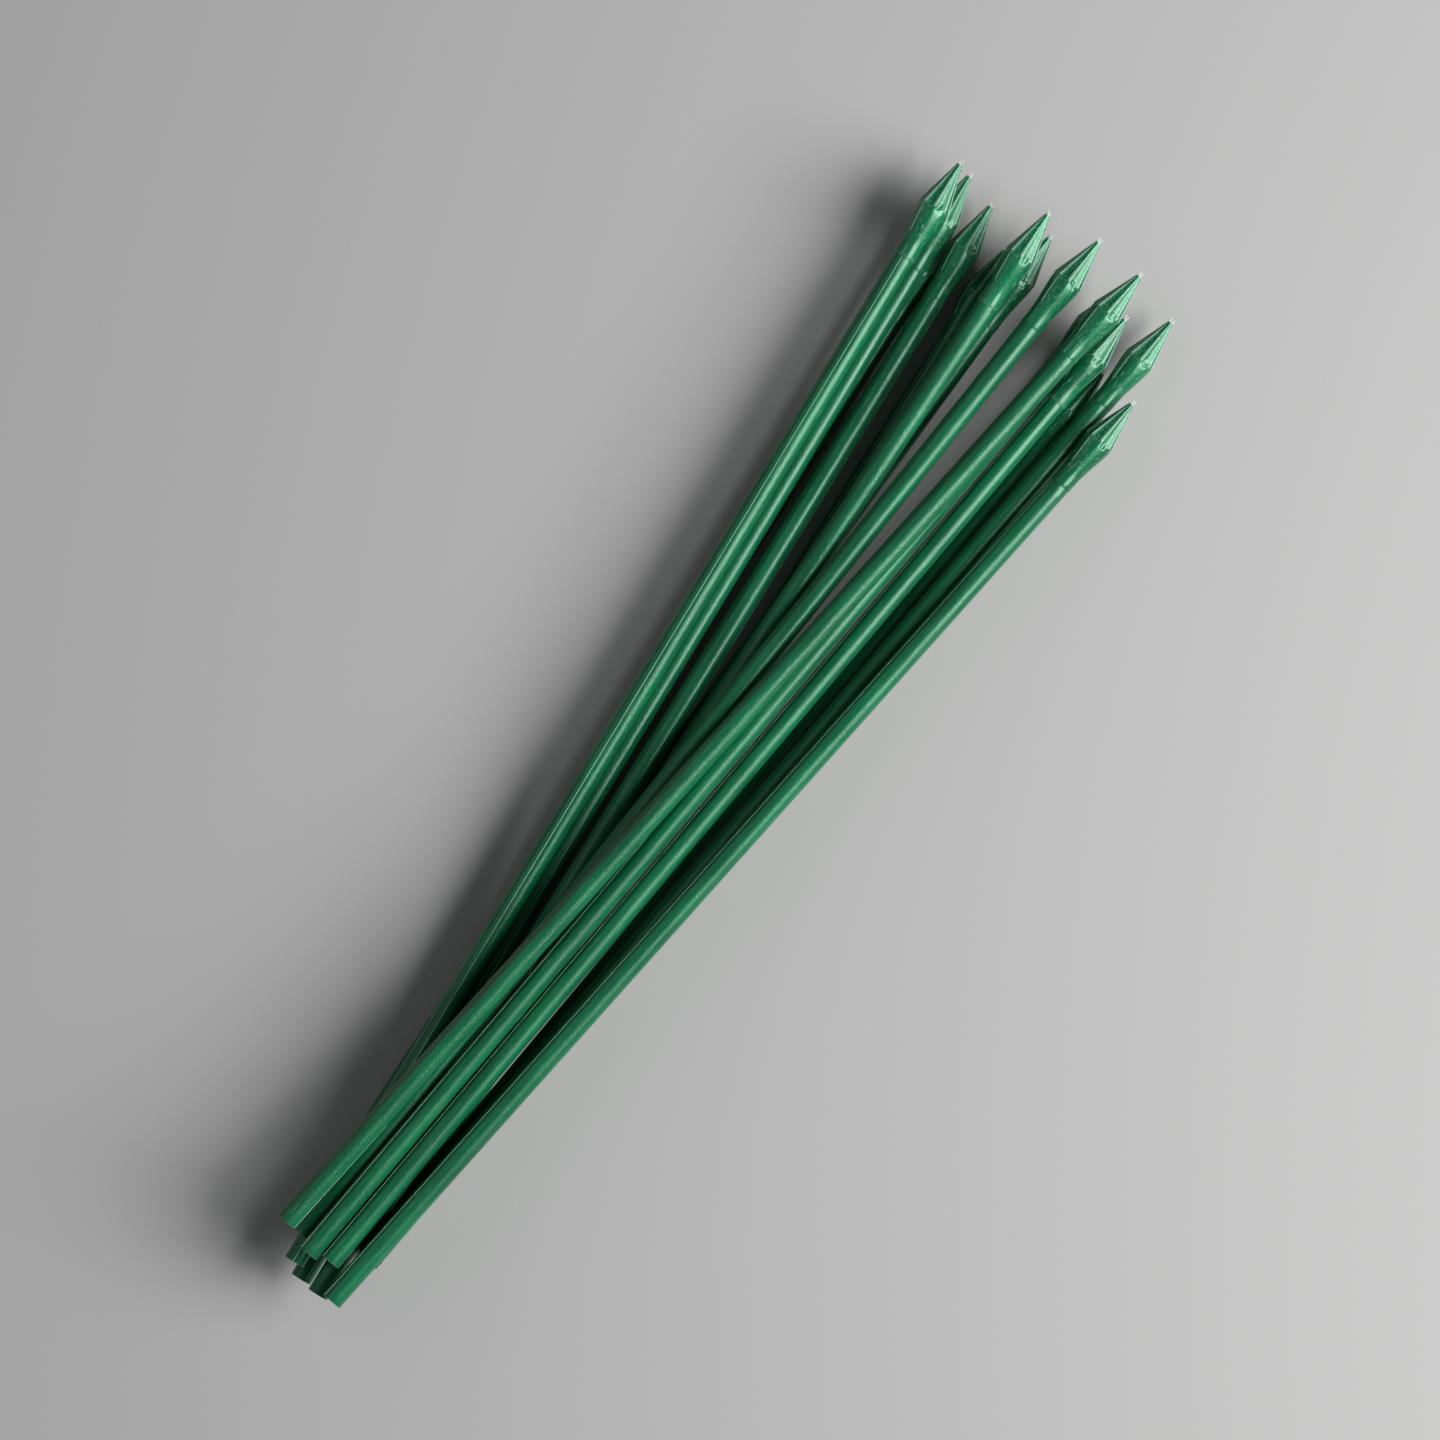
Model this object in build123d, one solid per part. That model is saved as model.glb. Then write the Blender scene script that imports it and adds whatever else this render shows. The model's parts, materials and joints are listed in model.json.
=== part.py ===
from build123d import *
import math
import os

# Loose sheaf of driveway snow markers, lying on a flat surface.
# Units are millimetres, +Z is up and +X runs along the sheaf towards the spear points.
# Each marker is a glass-fibre rod in a plastic jacket, with a moulded spear point on one end
# and a tuft of glass fibre standing out of the point's tip.

# ---- driving dimensions of one marker -------------------------------------------------------
MARKER_LENGTH = 610.0        # 24 inches from the cut end to the tip, seen from above
CORE_DIAMETER = 9.5          # pultruded glass-fibre rod, three eighths of an inch
JACKET_WALL = 0.5            # plastic jacket drawn over the rod
GLUE_LINE = 0.03             # radial room between the rod and what is slipped over it

SKIRT_WALL = 0.75            # thin sleeve at the foot of the point
SKIRT_LENGTH = 6.0
FLARE_LENGTH = 20.0          # hollow-sided swelling from the skirt up to the belt
BELT_LENGTH = 2.4            # round belt that the faceted spike stands on
SPIKE_LENGTH = 24.0          # faceted spike from the belt to the blunt tip
SHOULDER_DIAMETER = 16.0     # across the corners of the spike, at its foot
SHOULDER_STEP = 0.25         # how far the spike's flats stand out over the belt
FACET_COUNT = 8
TIP_DIAMETER = 2.8           # across the corners of the blunt tip
SOCKET_DEPTH = 30.0          # how far the rod enters the point

TUFT_ROOT_DIAMETER = 1.8     # glass strands gathered in the tip
TUFT_ROOT_LENGTH = 3.0
STRAND_DIAMETER = 0.5
STRAND_LENGTH = 2.3
STRAND_LEAN = 10.0           # how far the strands splay outwards, in degrees

# ---- the sheaf ------------------------------------------------------------------------------
LAYING_GAP = 0.3             # air left between markers that lie on each other
STATION_STEP = 4.0           # spacing of the places where two markers are compared

# Each marker in the order that it was laid down, lowest first: its number, the place of its tip
# seen from above, its heading in degrees from +X, how much longer it was cut than the nominal
# length, and the turn of its facets in degrees.
LAYING_ORDER = [
    (1, (287.0, 26.0), 5.4, -32.0, -6.0),
    (2, (304.0, 12.5), 1.6, -14.5, -4.0),
    (3, (279.5, 52.5), 4.6, -37.0, 26.5),
    (4, (311.5, 20.0), 3.65, -9.5, 5.0),
    (5, (268.5, -47.76), -2.3, -53.0, -2.5),
    (6, (308.0, -59.0), -3.0, -12.0, 6.0),
    (7, (304.5, 61.5), 6.3, 14.5, 8.0),
    (8, (305.5, 68.5), 6.3, 10.0, 2.0),
    (9, (299.5, 44.5), 5.8, 9.0, 3.0),
    (10, (316.0, -7.5), -1.2, 3.5, 4.0),
    (11, (295.5, -40.5), -2.65, -14.5, -3.0),
    (12, (306.0, -30.0), -2.64, -1.0, 9.0),
    (13, (315.0, -33.0), -4.55, 3.0, 5.0),
    (14, (264.5, -68.0), -4.25, -30.0, 7.0),
]

# ---- sizes that follow ----------------------------------------------------------------------
CORE_RADIUS = CORE_DIAMETER / 2
BORE_RADIUS = CORE_RADIUS + GLUE_LINE
JACKET_RADIUS = BORE_RADIUS + JACKET_WALL
SKIRT_RADIUS = BORE_RADIUS + SKIRT_WALL
SHOULDER_RADIUS = SHOULDER_DIAMETER / 2
FLAT_RADIUS = SHOULDER_RADIUS * math.cos(math.pi / FACET_COUNT)
BELT_RADIUS = FLAT_RADIUS - SHOULDER_STEP
TIP_RADIUS = TIP_DIAMETER / 2
POINT_LENGTH = SKIRT_LENGTH + FLARE_LENGTH + BELT_LENGTH + SPIKE_LENGTH
UPWARDS = (Align.CENTER, Align.CENTER, Align.MIN)
DOWNWARDS = (Align.CENTER, Align.CENTER, Align.MAX)


def outside_radius(from_tip):
    """Radius that a marker fills at a distance from its tip: no less than its true outline."""
    belt_foot = SPIKE_LENGTH + BELT_LENGTH
    flare_foot = belt_foot + FLARE_LENGTH
    if from_tip < SPIKE_LENGTH:
        return TIP_RADIUS + max(from_tip, 0) / SPIKE_LENGTH * (SHOULDER_RADIUS - TIP_RADIUS)
    if from_tip < belt_foot:
        return SHOULDER_RADIUS
    if from_tip < flare_foot:
        return BELT_RADIUS + (from_tip - belt_foot) / FLARE_LENGTH * (SKIRT_RADIUS - BELT_RADIUS)
    if from_tip < POINT_LENGTH:
        return SKIRT_RADIUS
    return JACKET_RADIUS


class Marker:
    """One marker's place in the sheaf: seen from above at first, with heights once it is laid."""

    def __init__(self, number, tip, heading, extra_length, facet_turn):
        self.number = number
        self.facet_turn = facet_turn
        self.plan_length = MARKER_LENGTH + extra_length
        self.heading = Vector(1, 0, 0).rotate(Axis.Z, heading)
        self.butt = Vector(*tip) - self.heading * self.plan_length
        self.slope = 0.0

    def axis_point(self, along):
        """Point of the axis at a distance from the cut end, measured from above."""
        return self.butt + (self.heading + Vector(0, 0, self.slope)) * along

    def place_of(self, point):
        """Distance along the marker from its cut end, and sideways, of a point seen from above."""
        offset = point - self.butt
        along = offset.X * self.heading.X + offset.Y * self.heading.Y
        sideways = abs(offset.Y * self.heading.X - offset.X * self.heading.Y)
        return along, sideways

    def length(self):
        """True length from the cut end to the tip."""
        return self.plan_length * math.hypot(1, self.slope)

    def plane(self):
        """Plane on the cut end, with its Z axis along the marker and its Y axis upwards."""
        along = self.heading + Vector(0, 0, self.slope)
        return Plane(origin=self.butt, x_dir=Vector(0, 0, 1).cross(along), z_dir=along)


def height_needed(marker, along, laid):
    """Lowest height of a marker's axis at one station, over the floor and the markers laid."""
    own_radius = outside_radius(marker.plan_length - along)
    needed = own_radius
    for lower in laid:
        lower_along, sideways = lower.place_of(marker.axis_point(along))
        if not -STATION_STEP < lower_along < lower.plan_length + STATION_STEP:
            continue
        reach = own_radius + outside_radius(lower.plan_length - lower_along) + LAYING_GAP
        if sideways < reach:
            rise = math.sqrt(reach ** 2 - sideways ** 2)
            needed = max(needed, lower.axis_point(lower_along).Z + rise)
    return needed


def lay_down(marker, laid):
    """Rest a marker on the two props, one each side of its middle, that hold it highest."""
    steps = math.ceil(marker.plan_length / STATION_STEP)
    stations = [marker.plan_length * i / steps for i in range(steps + 1)]
    props = [(along, height_needed(marker, along, laid)) for along in stations]
    middle = marker.plan_length / 2
    highest = 0.0
    for rear, rear_height in (prop for prop in props if prop[0] <= middle):
        for front, front_height in (prop for prop in props if prop[0] > middle):
            slope = (front_height - rear_height) / (front - rear)
            height = rear_height + slope * (middle - rear)
            if height > highest:
                highest = height
                marker.slope = slope
    marker.butt.Z = highest - marker.slope * middle


def make_core(marker):
    """The glass-fibre rod, from the cut end into the point's socket."""
    length = marker.length() - POINT_LENGTH + SOCKET_DEPTH - GLUE_LINE
    return Cylinder(CORE_RADIUS, length, align=UPWARDS)


def make_jacket(marker):
    """The plastic jacket over the rod, from the cut end up to the point's skirt."""
    length = marker.length() - POINT_LENGTH
    return Cylinder(JACKET_RADIUS, length, align=UPWARDS) - Cylinder(BORE_RADIUS, length, align=UPWARDS)


def make_point(marker):
    """The moulded point: skirt, hollow flare, belt and faceted spike, with the rod's socket."""
    skirt_foot = marker.length() - POINT_LENGTH
    flare_foot = skirt_foot + SKIRT_LENGTH
    belt_foot = flare_foot + FLARE_LENGTH
    spike_foot = belt_foot + BELT_LENGTH
    swelling = BELT_RADIUS - SKIRT_RADIUS
    with BuildPart() as point:
        with BuildSketch(Plane.XZ):
            with BuildLine():
                Polyline((SKIRT_RADIUS, flare_foot), (SKIRT_RADIUS, skirt_foot), (0, skirt_foot))
                Bezier(
                    (SKIRT_RADIUS, flare_foot),
                    (SKIRT_RADIUS, flare_foot + 0.4 * FLARE_LENGTH),
                    (BELT_RADIUS - 0.4 * swelling, belt_foot - 0.25 * FLARE_LENGTH),
                    (BELT_RADIUS, belt_foot),
                )
                Polyline((BELT_RADIUS, belt_foot), (BELT_RADIUS, spike_foot), (0, spike_foot))
                Line((0, spike_foot), (0, skirt_foot))
            make_face()
        revolve(axis=Axis.Z)
        with BuildSketch(Plane.XY.offset(spike_foot)):
            RegularPolygon(SHOULDER_RADIUS, FACET_COUNT, rotation=marker.facet_turn)
        with BuildSketch(Plane.XY.offset(marker.length())):
            RegularPolygon(TIP_RADIUS, FACET_COUNT, rotation=marker.facet_turn)
        loft()
        with Locations((0, 0, skirt_foot)):
            Cylinder(BORE_RADIUS, SOCKET_DEPTH, align=UPWARDS, mode=Mode.SUBTRACT)
        with Locations((0, 0, marker.length())):
            pocket_radius = TUFT_ROOT_DIAMETER / 2 + GLUE_LINE
            pocket_depth = TUFT_ROOT_LENGTH + GLUE_LINE
            Cylinder(pocket_radius, pocket_depth, align=DOWNWARDS, mode=Mode.SUBTRACT)
    return point.part


def make_tuft(marker):
    """The glass strands at the tip: gathered in the point, splayed where they stand out of it."""
    strand_count = 2 + marker.number % 3
    tip = Pos(0, 0, marker.length())
    rim = (TUFT_ROOT_DIAMETER - STRAND_DIAMETER) / 2
    strand = Cylinder(STRAND_DIAMETER / 2, STRAND_LENGTH + STRAND_DIAMETER, align=UPWARDS)
    leaning = Pos(rim, 0, -STRAND_DIAMETER) * Rot(0, STRAND_LEAN, 0) * strand
    tuft = tip * Cylinder(TUFT_ROOT_DIAMETER / 2, TUFT_ROOT_LENGTH, align=DOWNWARDS)
    for i in range(strand_count):
        tuft += tip * Rot(0, 0, marker.facet_turn + 360 / strand_count * i) * leaning
    return tuft


MAKERS = {"core": make_core, "jacket": make_jacket, "point": make_point, "tuft": make_tuft}


def lay_sheaf():
    """Every marker, laid on the floor and on those before it."""
    laid = []
    for number, tip, heading, extra_length, facet_turn in LAYING_ORDER:
        marker = Marker(number, tip, heading, extra_length, facet_turn)
        lay_down(marker, laid)
        laid.append(marker)
    return laid


def make_pieces(laid):
    """Every piece by name, and the shift that sets the origin on the floor under their middle."""
    pieces = {}
    for marker in laid:
        for kind, make in MAKERS.items():
            pieces[f"{kind}_{marker.number:02d}"] = marker.plane().location * make(marker)
    boxes = [piece.bounding_box() for piece in pieces.values()]
    middle_x = (min(box.min.X for box in boxes) + max(box.max.X for box in boxes)) / 2
    middle_y = (min(box.min.Y for box in boxes) + max(box.max.Y for box in boxes)) / 2
    floor = min(box.min.Z for box in boxes)
    to_origin = Pos(-middle_x, -middle_y, -floor)
    return {name: to_origin * piece for name, piece in pieces.items()}, to_origin


def main():
    """Write each piece to its own file."""
    os.makedirs("parts", exist_ok=True)
    laid = lay_sheaf()
    pieces, _ = make_pieces(laid)
    for name, piece in pieces.items():
        export_step(piece, f"parts/{name}.step")
    for marker in laid:
        front_height = marker.axis_point(marker.plan_length).Z
        print(
            f"marker {marker.number:02d}: {marker.length():.1f} long, "
            f"cut end {marker.butt.Z:.1f} high, tip {front_height:.1f} high"
        )


main()
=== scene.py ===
"""A loose sheaf of green driveway snow markers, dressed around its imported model.

Every marker is built in its own space, with X along it from the cut end towards the tip and Z
upwards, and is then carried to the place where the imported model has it. All lengths are metres.
"""

from __future__ import annotations

import json
import logging
import math
import random
from dataclasses import dataclass, field
from enum import Enum
from typing import Any, Callable, Sequence

import bpy
from mathutils import Matrix, Vector

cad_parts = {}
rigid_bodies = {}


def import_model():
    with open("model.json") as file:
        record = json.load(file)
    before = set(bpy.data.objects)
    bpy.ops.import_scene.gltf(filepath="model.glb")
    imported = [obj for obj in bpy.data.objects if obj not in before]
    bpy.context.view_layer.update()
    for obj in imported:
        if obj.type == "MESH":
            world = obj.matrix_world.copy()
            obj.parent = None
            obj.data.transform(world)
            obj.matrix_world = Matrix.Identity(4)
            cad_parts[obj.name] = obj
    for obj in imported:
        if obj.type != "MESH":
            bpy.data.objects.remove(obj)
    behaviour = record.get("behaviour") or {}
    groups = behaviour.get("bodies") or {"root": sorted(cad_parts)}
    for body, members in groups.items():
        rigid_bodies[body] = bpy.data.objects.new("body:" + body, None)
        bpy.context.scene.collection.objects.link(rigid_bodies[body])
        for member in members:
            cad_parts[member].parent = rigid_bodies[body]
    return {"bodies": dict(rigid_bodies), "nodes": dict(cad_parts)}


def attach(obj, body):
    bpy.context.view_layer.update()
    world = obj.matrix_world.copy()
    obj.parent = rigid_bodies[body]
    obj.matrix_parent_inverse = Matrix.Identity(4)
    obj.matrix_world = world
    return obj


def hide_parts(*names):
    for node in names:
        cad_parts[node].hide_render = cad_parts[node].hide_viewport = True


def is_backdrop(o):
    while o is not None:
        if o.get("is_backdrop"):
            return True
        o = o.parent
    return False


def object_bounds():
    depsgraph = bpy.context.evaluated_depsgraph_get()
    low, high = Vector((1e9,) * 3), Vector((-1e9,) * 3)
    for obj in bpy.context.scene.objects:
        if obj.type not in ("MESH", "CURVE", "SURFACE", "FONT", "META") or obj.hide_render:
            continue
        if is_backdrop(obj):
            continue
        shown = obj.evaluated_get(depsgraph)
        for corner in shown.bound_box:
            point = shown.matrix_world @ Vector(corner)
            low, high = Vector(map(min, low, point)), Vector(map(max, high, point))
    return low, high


log = logging.getLogger("snow_markers")

MM = 0.001
SPACE_ATTRIBUTE = "in_marker"
# Named attribute for the pale marks: real wear on rims, seams and flecks, and a painted highlight along the
# die lines and crests.
WEAR_AND_SHEEN_ATTRIBUTE = "wear"
DUST_ATTRIBUTE = "dust"
MOTTLE_ATTRIBUTE = "mottle"
OPEN_ATTRIBUTE = "open_skin"
SEED_SHIFT = Vector((0.9, 0.37, 0.53))

RadiusAt = Callable[[float], float]


class Slot(Enum):
    """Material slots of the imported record."""

    JACKET = "green_jacket"
    POINT = "green_point"
    CORE = "glass_fibre"
    TUFT = "fibre_strands"


# ---- small tools ----------------------------------------------------------------------------


class TreeWriter:
    """Adds nodes to a node tree and links them."""

    def __init__(self, tree: bpy.types.NodeTree) -> None:
        """Start on an empty tree.

        Args:
            tree: the shader or geometry tree to fill.
        """
        self.tree = tree

    def add(self, kind: str, values: dict[Any, Any] | None = None, **settings: Any) -> bpy.types.Node:
        """Add one node.

        Args:
            kind: the node's type name.
            values: input sockets by name or index, each with a plain value or a socket to link.
            settings: properties of the node itself.

        Returns:
            The new node.
        """
        node = self.tree.nodes.new(kind)
        for name, setting in settings.items():
            setattr(node, name, setting)
        for name, value in (values or {}).items():
            self.feed(node.inputs[name], value)
        return node

    def feed(self, socket: bpy.types.NodeSocket, value: Any) -> None:
        """Give an input a plain value, or link another node's output into it."""
        if isinstance(value, bpy.types.NodeSocket):
            self.tree.links.new(value, socket)
        else:
            socket.default_value = value

    def math(self, operation: str, first: Any, second: Any = 0.0) -> bpy.types.NodeSocket:
        """Add a math node and return its output."""
        return self.add("ShaderNodeMath", {0: first, 1: second}, operation=operation).outputs[0]


def grow(base: bpy.types.Object, tree: bpy.types.NodeTree, values: dict[str, Any]) -> None:
    """Run a geometry tree on an object and keep the result as its plain mesh, with no modifier.

    Args:
        base: the object whose mesh goes into the tree.
        tree: the geometry tree.
        values: what each named input is set to.
    """
    modifier = base.modifiers.new(tree.name, "NODES")
    modifier.node_group = tree
    for item in tree.interface.items_tree:
        if item.item_type == "SOCKET" and item.in_out == "INPUT" and item.name in values:
            modifier[item.identifier] = values[item.name]
    depsgraph = bpy.context.evaluated_depsgraph_get()
    evaluated = base.evaluated_get(depsgraph)
    mesh = bpy.data.meshes.new_from_object(evaluated, preserve_all_data_layers=True, depsgraph=depsgraph)
    base.modifiers.remove(modifier)
    old = base.data
    base.data = mesh
    bpy.data.meshes.remove(old)
    mesh.name = base.name


def new_piece(name: str, vertices: Sequence[Vector], faces: Sequence[Sequence[int]]) -> bpy.types.Object:
    """Make an object of a mesh, linked to the scene, smooth but for its hard edges."""
    mesh = bpy.data.meshes.new(name)
    mesh.from_pydata(vertices, [], faces)
    mesh.validate()
    mesh.shade_smooth()
    piece = bpy.data.objects.new(name, mesh)
    bpy.context.scene.collection.objects.link(piece)
    return piece


def skin(
    name: str, rings: Sequence[Sequence[Vector]], start: Vector | None, end: Vector | None
) -> bpy.types.Object:
    """Skin a row of rings that run round the X axis into one closed mesh.

    Args:
        name: the object's name.
        rings: rings with the same number of corners, in order along the outline.
        start: the pole before the first ring, or None where the last ring meets the first.
        end: the pole after the last ring, or None likewise.

    Returns:
        The object.
    """
    count = len(rings[0])
    vertices = [corner for ring in rings for corner in ring]
    faces: list[tuple[int, ...]] = []
    pairs = list(zip(range(len(rings) - 1), range(1, len(rings))))
    if start is None or end is None:
        pairs.append((len(rings) - 1, 0))
    for here, there in pairs:
        for i in range(count):
            j = (i + 1) % count
            corners = (here * count + i, here * count + j, there * count + j, there * count + i)
            faces.append(corners)
    if start is not None and end is not None:
        first = len(vertices)
        vertices += [start, end]
        last_ring = (len(rings) - 1) * count
        for i in range(count):
            j = (i + 1) % count
            faces.append((first, j, i))
            faces.append((first + 1, last_ring + i, last_ring + j))
    return new_piece(name, vertices, faces)


def ring_at(x: float, angles: Sequence[float], radius: RadiusAt) -> list[Vector]:
    """Corners of a ring round the X axis, from its radius at each angle."""
    return [Vector((x, radius(a) * math.cos(a), radius(a) * math.sin(a))) for a in angles]


def arc_steps(count: int) -> list[float]:
    """Shares of a quarter turn, as angles, for a rounded edge of that many steps."""
    return [math.pi / 2 * i / count for i in range(count + 1)]


# ---- where the markers lie ------------------------------------------------------------------


@dataclass(frozen=True)
class MarkerPlace:
    """Where one marker lies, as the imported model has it."""

    number: int
    cut_end: Vector
    along: Vector
    jacket_length: float
    crest_angle: float

    @property
    def body(self) -> str:
        """Name of the marker's rigid body."""
        return f"marker_{self.number:02d}"

    def node(self, kind: str) -> str:
        """Name of one of the marker's CAD nodes."""
        return f"{kind}_{self.number:02d}"

    def matrix(self) -> Matrix:
        """The move from the marker's own space to the model's."""
        side = Vector((0, 0, 1)).cross(self.along).normalized()
        upwards = self.along.cross(side)
        move = Matrix((self.along, side, upwards)).transposed().to_4x4()
        move.translation = self.cut_end
        return move

    @classmethod
    def read(cls, nodes: dict[str, bpy.types.Object], number: int) -> "MarkerPlace":
        """Read one marker's place from its jacket and the crests of its point.

        Args:
            nodes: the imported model's nodes by name.
            number: the marker's number.

        Returns:
            The marker's place.
        """
        corners = [v.co.copy() for v in nodes[f"jacket_{number:02d}"].data.vertices]
        middle = sum((c.x for c in corners), 0.0) / len(corners)
        ends = []
        for rim in ([c for c in corners if c.x < middle], [c for c in corners if c.x > middle]):
            single = {tuple(round(k, 7) for k in c): c for c in rim}
            ends.append(sum(single.values(), Vector()) / len(single))
        along = (ends[1] - ends[0]).normalized()
        blank = cls(number, ends[0], along, (ends[1] - ends[0]).length, 0.0)
        home = blank.matrix().inverted()
        spike = [home @ v.co for v in nodes[f"point_{number:02d}"].data.vertices]
        crest = max(spike, key=lambda c: math.hypot(c.y, c.z))
        angle = math.atan2(crest.z, crest.y)
        return cls(number, ends[0], along, blank.jacket_length, angle)


# ---- finishes -------------------------------------------------------------------------------


@dataclass(frozen=True)
class GreenPlastic:
    """Glossy green plastic with lengthwise drawing marks, in the marker's own space."""

    name: str
    deep: tuple[float, float, float, float]
    pale: tuple[float, float, float, float]
    roughness: tuple[float, float]
    streak_height: float
    streak_pitch: float
    peel_height: float
    peel_pitch: float
    scratch_share: float
    # Pale mint for the marks: real wear, and a painted highlight on die lines and crests.
    worn: tuple[float, float, float, float] = (0.48, 0.80, 0.62, 1.0)
    dusty: tuple[float, float, float, float] = (0.075, 0.085, 0.045, 1.0)
    shine_tint: tuple[float, float, float, float] = (0.62, 1.0, 0.80, 1.0)

    def make(self) -> bpy.types.Material:
        """Build the material.

        Returns:
            The material.
        """
        material = bpy.data.materials.new(self.name)
        material.use_nodes = True
        material.node_tree.nodes.clear()
        w = TreeWriter(material.node_tree)
        space = w.add("ShaderNodeAttribute", attribute_name=SPACE_ATTRIBUTE).outputs["Vector"]
        wear = w.add("ShaderNodeAttribute", attribute_name=WEAR_AND_SHEEN_ATTRIBUTE).outputs["Fac"]
        dust = w.add("ShaderNodeAttribute", attribute_name=DUST_ATTRIBUTE).outputs["Fac"]
        mottle = w.add("ShaderNodeAttribute", attribute_name=MOTTLE_ATTRIBUTE).outputs["Fac"]

        def stretched(lengthwise: float, across: float, detail: float) -> bpy.types.NodeSocket:
            """Noise with one pitch along the marker and another across it."""
            scaled = w.add(
                "ShaderNodeVectorMath",
                {0: space, 1: (1 / lengthwise, 1 / across, 1 / across)},
                operation="MULTIPLY",
            ).outputs[0]
            return w.add("ShaderNodeTexNoise", {"Vector": scaled, "Scale": 1.0, "Detail": detail}).outputs[0]

        def share(value: bpy.types.NodeSocket, low: float, high: float) -> bpy.types.NodeSocket:
            """Stretch a value between two levels to run from 0 to 1."""
            return w.add("ShaderNodeMapRange", {0: value, 1: low, 2: high, 3: 0.0, 4: 1.0}).outputs[0]

        def blend(amount: Any, first: Any, second: Any) -> bpy.types.NodeSocket:
            """Mix two colours."""
            return w.add("ShaderNodeMix", {0: amount, 6: first, 7: second}, data_type="RGBA").outputs[2]

        streaks = stretched(self.streak_pitch * 70, self.streak_pitch, 3.0)
        hairlines = stretched(self.streak_pitch * 25, self.streak_pitch * 0.4, 2.0)
        peel = stretched(self.peel_pitch * 1.5, self.peel_pitch, 4.0)
        cloud = stretched(45 * MM, 7 * MM, 3.0)
        scratches = stretched(11 * MM, 0.32 * MM, 4.0)

        colour = blend(share(cloud, 0.35, 0.65), self.deep, self.pale)
        colour = blend(w.math("MULTIPLY", share(streaks, 0.45, 0.75), 0.35), colour, self.deep)
        scratched = w.math("MULTIPLY", share(scratches, 0.60, 0.70), self.scratch_share)
        # Pale marks from the stored value and the scratches: real wear, plus a painted highlight where die
        # lines and crests are set to full.
        pale_wear_and_painted_sheen = w.math("MAXIMUM", w.math("MULTIPLY", wear, 0.85), scratched)
        film = w.math("MULTIPLY", dust, share(hairlines, 0.30, 0.60))
        colour = blend(film, colour, self.dusty)
        colour = blend(pale_wear_and_painted_sheen, colour, self.worn)
        rough = w.add(
            "ShaderNodeMapRange",
            {0: streaks, 1: 0.3, 2: 0.7, 3: self.roughness[0], 4: self.roughness[1]},
        ).outputs[0]
        rough = w.math("ADD", rough, w.math("MULTIPLY", film, 0.25))

        peel_bump = w.add(
            "ShaderNodeBump",
            {"Height": peel, "Strength": 1.0, "Distance": w.math("MULTIPLY", mottle, self.peel_height)},
        ).outputs[0]
        streak_bump = w.add(
            "ShaderNodeBump",
            {"Height": streaks, "Strength": 1.0, "Distance": self.streak_height, "Normal": peel_bump},
        ).outputs[0]
        normal = w.add(
            "ShaderNodeBump",
            {
                "Height": hairlines,
                "Strength": 1.0,
                "Distance": self.streak_height * 0.4,
                "Normal": streak_bump,
            },
        ).outputs[0]
        shader = w.add(
            "ShaderNodeBsdfPrincipled",
            {
                "Base Color": colour,
                "Roughness": rough,
                "Normal": normal,
                "IOR": 1.5,
                "Specular IOR Level": 0.7,
                "Specular Tint": self.shine_tint,
            },
        )
        w.add("ShaderNodeOutputMaterial", {"Surface": shader.outputs[0]})
        return material


@dataclass(frozen=True)
class GlassFibre:
    """Sawn or broken glass fibre: pale, dry and speckled, on object coordinates."""

    name: str
    resin: tuple[float, float, float, float]
    glass: tuple[float, float, float, float]
    grain_pitch: float
    roughness: float

    def make(self) -> bpy.types.Material:
        """Build the material.

        Returns:
            The material.
        """
        material = bpy.data.materials.new(self.name)
        material.use_nodes = True
        material.node_tree.nodes.clear()
        w = TreeWriter(material.node_tree)
        place = w.add("ShaderNodeTexCoord").outputs["Object"]
        bundles = w.add(
            "ShaderNodeTexVoronoi", {"Vector": place, "Scale": 1 / self.grain_pitch}
        ).outputs["Distance"]
        dust = w.add(
            "ShaderNodeTexNoise", {"Vector": place, "Scale": 0.4 / self.grain_pitch, "Detail": 4.0}
        ).outputs[0]
        share = w.math("MULTIPLY", bundles, dust)
        share = w.add("ShaderNodeMapRange", {0: share, 1: 0.05, 2: 0.35, 3: 0.0, 4: 1.0}).outputs[0]
        colour = w.add(
            "ShaderNodeMix", {0: share, 6: self.glass, 7: self.resin}, data_type="RGBA"
        ).outputs[2]
        normal = w.add(
            "ShaderNodeBump", {"Height": bundles, "Strength": 0.6, "Distance": 0.05 * MM}
        ).outputs[0]
        shader = w.add(
            "ShaderNodeBsdfPrincipled",
            {"Base Color": colour, "Roughness": self.roughness, "Normal": normal},
        )
        w.add("ShaderNodeOutputMaterial", {"Surface": shader.outputs[0]})
        return material


JACKET_PLASTIC = GreenPlastic(
    name="drawn_green_plastic",
    deep=(0.0008, 0.085, 0.032, 1.0),
    pale=(0.0020, 0.145, 0.056, 1.0),
    roughness=(0.24, 0.38),
    streak_height=0.05 * MM,
    streak_pitch=0.6 * MM,
    peel_height=0.10 * MM,
    peel_pitch=1.0 * MM,
    scratch_share=0.12,
)
POINT_PLASTIC = GreenPlastic(
    name="moulded_green_plastic",
    deep=(0.0008, 0.090, 0.034, 1.0),
    pale=(0.0025, 0.160, 0.064, 1.0),
    roughness=(0.20, 0.32),
    streak_height=0.03 * MM,
    streak_pitch=0.45 * MM,
    peel_height=0.03 * MM,
    peel_pitch=2.0 * MM,
    scratch_share=0.5,
)
SAWN_FIBRE = GlassFibre(
    name="sawn_glass_fibre",
    resin=(0.42, 0.47, 0.36, 1.0),
    glass=(0.72, 0.74, 0.66, 1.0),
    grain_pitch=0.35 * MM,
    roughness=0.75,
)
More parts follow.
